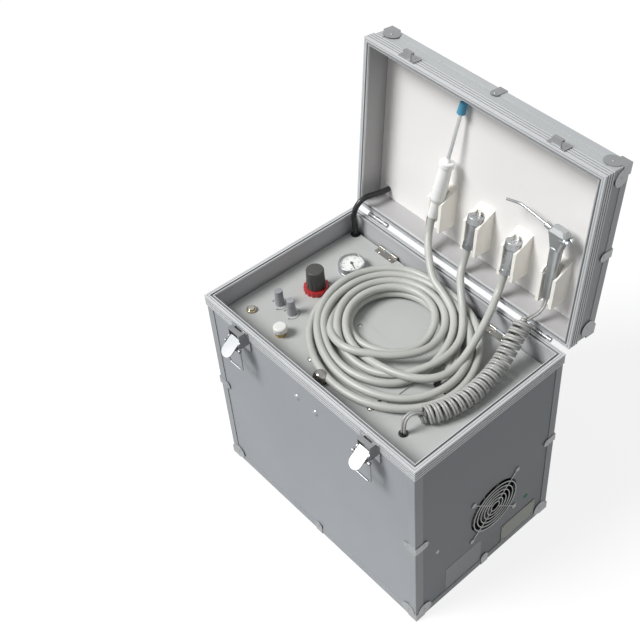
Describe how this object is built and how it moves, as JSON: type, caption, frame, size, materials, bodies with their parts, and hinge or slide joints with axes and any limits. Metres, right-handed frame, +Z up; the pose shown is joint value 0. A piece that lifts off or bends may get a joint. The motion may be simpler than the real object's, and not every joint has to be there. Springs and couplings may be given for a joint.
{
  "type": "portable dental unit",
  "caption": "Aluminium carrying case with a hinged lid of instrument holders, a lift-up control panel with coiled hoses, a side fan and an oil-free compressor inside",
  "frame": {"origin": "centre of the underside of the floor board", "axes": "+Z up, +X to the right along the long side as seen from the front, -Y towards the front face with the latches"},
  "size_m": [0.4029, 0.375, 0.6127],
  "materials": {
    "panel_board": "fine matt skin over board",
    "rim_aluminium": "satin anodised extrusion",
    "nickel": "bright nickel plate",
    "rubber_black": "moulded black rubber",
    "lid_board": "dark patterned skin over board",
    "liner_white": "matt white lining",
    "holder_ivory": "moulded ivory plastic",
    "handle_cast": "cast, lightly polished",
    "grip_black": "fine-grained black plastic",
    "handpiece_grey": "pale grey plastic",
    "cap_blue": "soft blue rubber",
    "steel": "turned steel",
    "syringe_metal": "polished plate",
    "button_blue": "moulded plastic",
    "button_green": "moulded plastic",
    "panel_grey": "matt light grey paint",
    "knob_grey": "moulded grey plastic",
    "knob_black": "ribbed black plastic",
    "ring_red": "moulded red plastic",
    "cap_white": "white plastic",
    "button_dark": "dark moulded plastic",
    "hose_grey": "smooth grey silicone",
    "cord_grey": "smooth grey plastic tube",
    "cable_black": "smooth black sheath",
    "fan_black": "moulded black plastic",
    "cast_grey": "painted casting",
    "tank_white": "white enamel",
    "bottle_clear": "clear plastic",
    "brass_fittings": "turned brass",
    "core_iron": "laminated iron with winding"
  },
  "bodies": {
    "case": {"case_boards": "panel_board", "base_rim": "rim_aluminium", "base_edges": "rim_aluminium", "base_fittings": "nickel", "rubber_feet": "rubber_black", "lid_hinge_fixed": "nickel", "latch_brackets": "nickel", "panel_seat": "rim_aluminium", "scaler_hose": "hose_grey", "turbine_hose_1": "hose_grey", "turbine_hose_2": "hose_grey", "syringe_cord_tail": "cord_grey", "lid_cable": "cable_black", "fan_guard": "nickel", "fan_housing": "fan_black", "mains_inlet": "button_dark", "compressor_block": "cast_grey", "compressor_pistons": "steel", "air_tank": "tank_white", "water_bottle": "bottle_clear", "valve_manifold": "brass_fittings", "scaler_driver": "core_iron"},
    "lid": {"lid_boards": "lid_board", "lid_rim": "rim_aluminium", "lid_edges": "rim_aluminium", "lid_fittings": "nickel", "lid_hinge_leaves": "nickel", "lid_liner": "liner_white", "instrument_holders": "holder_ivory", "handle_mounts": "nickel", "scaler_handpiece": "handpiece_grey", "scaler_tip": "cap_blue", "turbine_couplings": "syringe_metal", "syringe_body": "syringe_metal"},
    "handle": {"handle_bow": "handle_cast", "handle_grip": "grip_black"},
    "panel": {"control_panel": "panel_grey", "panel_fittings": "steel", "bottle_hatch": "panel_grey", "pressure_gauge": "button_dark", "hose_coil": "hose_grey", "syringe_cord_lead": "cord_grey", "syringe_cord_curl": "cord_grey"},
    "lever_left": {"latch_lever_left": "nickel"},
    "lever_right": {"latch_lever_right": "nickel"},
    "bail_left": {"latch_bail_left": "nickel"},
    "bail_right": {"latch_bail_right": "nickel"},
    "start_button": {"start_button": "button_dark"},
    "power_knob": {"scaler_power_knob": "knob_grey"},
    "water_knob": {"scaler_water_knob": "knob_grey"},
    "valve_knob": {"water_valve_knob": "cap_white"},
    "regulator_ring": {"regulator_ring": "ring_red"},
    "regulator_knob": {"regulator_knob": "knob_black"},
    "needle": {"gauge_needle": "knob_black"},
    "lift_knob": {"lift_knob": "syringe_metal"},
    "nozzle": {"syringe_nozzle": "syringe_metal"},
    "air_button": {"syringe_air_button": "button_blue"},
    "water_button": {"syringe_water_button": "button_green"},
    "fan_rotor": {"fan_rotor": "fan_black"},
    "shaft": {"compressor_shaft": "steel"}
  },
  "joints": [
    {"name": "lid_hinge", "type": "hinge", "parent": "case", "child": "lid", "pos_m": [0, 0.1352, 0.332], "axis": [-1, 0, 0], "range_deg": [-96, 0], "deforming": ["scaler_hose", "turbine_hose_1", "turbine_hose_2", "syringe_cord_tail", "syringe_cord_curl", "lid_cable"]},
    {"name": "panel_hinge", "type": "hinge", "parent": "case", "child": "panel", "pos_m": [0, 0.1215, 0.3012], "axis": [-1, 0, 0], "range_deg": [0, 25]},
    {"name": "handle_pivot", "type": "hinge", "parent": "lid", "child": "handle", "pos_m": [0, 0.20208, 0.44885], "axis": [1, 0, 0], "range_deg": [0, 95]},
    {"name": "latch_left", "type": "hinge", "parent": "case", "child": "lever_left", "pos_m": [-0.124, -0.1395, 0.309], "axis": [-1, 0, 0], "range_deg": [-12, 60]},
    {"name": "latch_right", "type": "hinge", "parent": "case", "child": "lever_right", "pos_m": [0.124, -0.1395, 0.309], "axis": [-1, 0, 0], "range_deg": [-12, 60]},
    {"name": "bail_left", "type": "hinge", "parent": "lever_left", "child": "bail_left", "pos_m": [-0.124, -0.14578, 0.30373], "axis": [-1, 0, 0], "range_deg": [0, 140]},
    {"name": "bail_right", "type": "hinge", "parent": "lever_right", "child": "bail_right", "pos_m": [0.124, -0.14578, 0.30373], "axis": [-1, 0, 0], "range_deg": [0, 140]},
    {"name": "start_press", "type": "slide", "parent": "panel", "child": "start_button", "axis": [0, 0, -1], "range_m": [0, 0.002], "stiffness_N_per_m": 500, "springref_m": -0.002},
    {"name": "power_turn", "type": "hinge", "parent": "panel", "child": "power_knob", "pos_m": [-0.146, -0.0515, 0.312], "axis": [0, 0, 1], "range_deg": [-20, 250]},
    {"name": "water_turn", "type": "hinge", "parent": "panel", "child": "water_knob", "pos_m": [-0.121, -0.0515, 0.312], "axis": [0, 0, 1], "range_deg": [-20, 250]},
    {"name": "valve_pull", "type": "slide", "parent": "panel", "child": "valve_knob", "axis": [0, 0, 1], "range_m": [0, 0.004]},
    {"name": "regulator_lock", "type": "hinge", "parent": "panel", "child": "regulator_ring", "pos_m": [-0.1335, 0.002, 0.304], "axis": [0, 0, 1], "range_deg": [-60, 180]},
    {"name": "regulator_turn", "type": "hinge", "parent": "panel", "child": "regulator_knob", "pos_m": [-0.1335, 0.002, 0.32], "axis": [0, 0, 1], "range_deg": [-300, 300]},
    {"name": "needle_turn", "type": "hinge", "parent": "panel", "child": "needle", "pos_m": [-0.131, 0.064, 0.309], "axis": [0, 0, -1], "range_deg": [0, 230], "stiffness_Nm_per_rad": 0.00002},
    {"name": "lift_turn", "type": "hinge", "parent": "panel", "child": "lift_knob", "pos_m": [-0.003, -0.101, 0.306], "axis": [0, 0, 1], "range_deg": [-90, 0]},
    {"name": "nozzle_turn", "type": "hinge", "parent": "lid", "child": "nozzle", "pos_m": [0.129, 0.16696, 0.47563], "axis": [-0.9903, 0.0194, 0.1378], "range_deg": [-90, 90]},
    {"name": "air_press", "type": "slide", "parent": "lid", "child": "air_button", "axis": [-1, 0, 0], "range_m": [0, 0.0022], "stiffness_N_per_m": 400, "springref_m": -0.002},
    {"name": "water_press", "type": "slide", "parent": "lid", "child": "water_button", "axis": [-1, 0, 0], "range_m": [0, 0.0022], "stiffness_N_per_m": 400, "springref_m": -0.002},
    {"name": "fan_spin", "type": "hinge", "parent": "case", "child": "fan_rotor", "pos_m": [0.181, 0.015, 0.12], "axis": [1, 0, 0], "continuous": true},
    {"name": "shaft_spin", "type": "hinge", "parent": "case", "child": "shaft", "pos_m": [-0.092, -0.062, 0.066], "axis": [1, 0, 0], "continuous": true}
  ]
}
